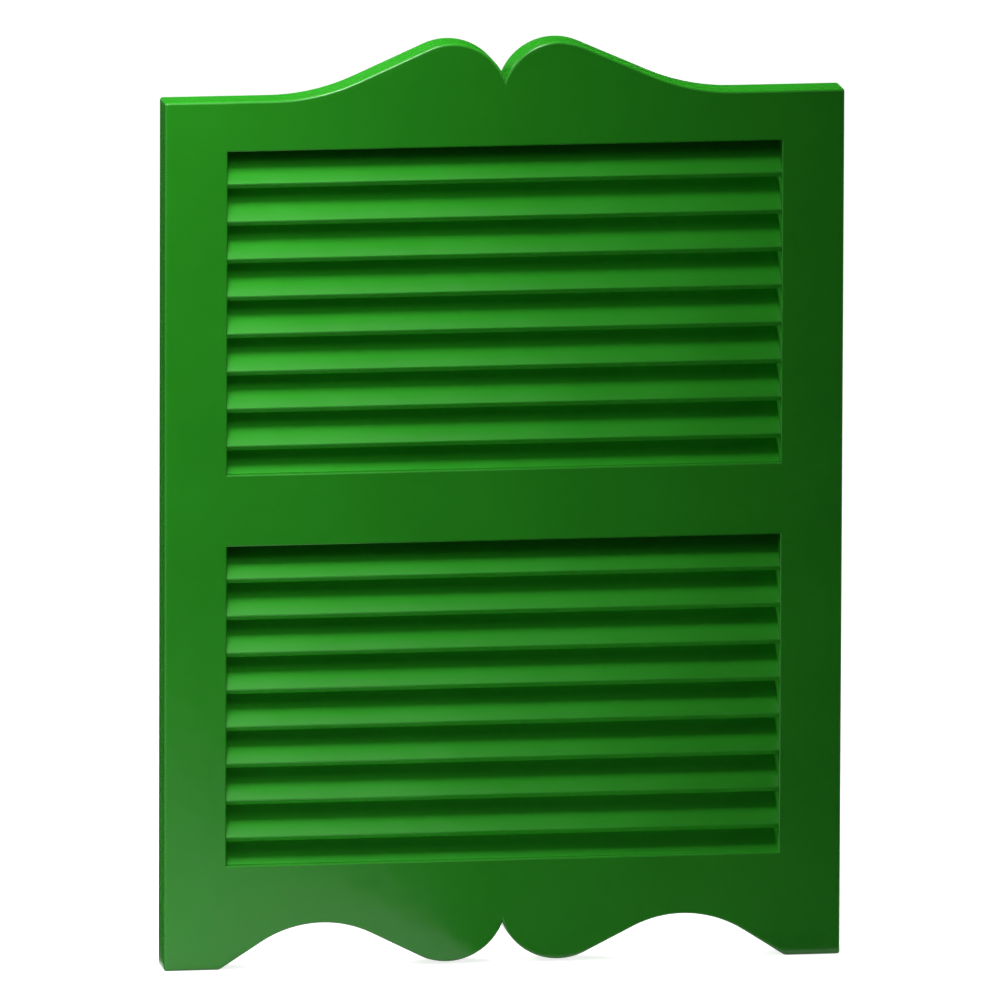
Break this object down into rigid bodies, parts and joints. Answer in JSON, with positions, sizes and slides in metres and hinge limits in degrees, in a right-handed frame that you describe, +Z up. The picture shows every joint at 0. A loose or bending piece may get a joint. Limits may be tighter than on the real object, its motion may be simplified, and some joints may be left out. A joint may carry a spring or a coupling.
{
  "type": "saloon door",
  "caption": "Green painted saloon door leaf with fixed louvres between stiles and rails and a scrolled top and bottom, hung by one edge to swing in a doorway.",
  "frame": {"origin": "on the ground under the middle of the leaf, at the bottom centre of its box", "axes": "+X across the leaf to the right as seen from its front, +Y from the front face to the back face, +Z up"},
  "size_m": [0.6, 0.035, 0.817],
  "materials": {
    "green_enamel": "sprayed high gloss green enamel on planed wood",
    "bare_wood": "bare turned hardwood"
  },
  "bodies": {
    "root": {"dowel_bottom_left_1": "bare_wood", "dowel_bottom_left_2": "bare_wood", "dowel_bottom_right_1": "bare_wood", "dowel_bottom_right_2": "bare_wood", "dowel_middle_left_1": "bare_wood", "dowel_middle_left_2": "bare_wood", "dowel_middle_right_1": "bare_wood", "dowel_middle_right_2": "bare_wood", "dowel_top_left_1": "bare_wood", "dowel_top_left_2": "bare_wood", "dowel_top_right_1": "bare_wood", "dowel_top_right_2": "bare_wood", "rail_bottom": "green_enamel", "rail_middle": "green_enamel", "rail_top": "green_enamel", "slat_lower_1": "green_enamel", "slat_lower_2": "green_enamel", "slat_lower_3": "green_enamel", "slat_lower_4": "green_enamel", "slat_lower_5": "green_enamel", "slat_lower_6": "green_enamel", "slat_lower_7": "green_enamel", "slat_lower_8": "green_enamel", "slat_lower_9": "green_enamel", "slat_upper_1": "green_enamel", "slat_upper_2": "green_enamel", "slat_upper_3": "green_enamel", "slat_upper_4": "green_enamel", "slat_upper_5": "green_enamel", "slat_upper_6": "green_enamel", "slat_upper_7": "green_enamel", "slat_upper_8": "green_enamel", "slat_upper_9": "green_enamel", "stile_left": "green_enamel", "stile_right": "green_enamel"}
  },
  "joints": []
}
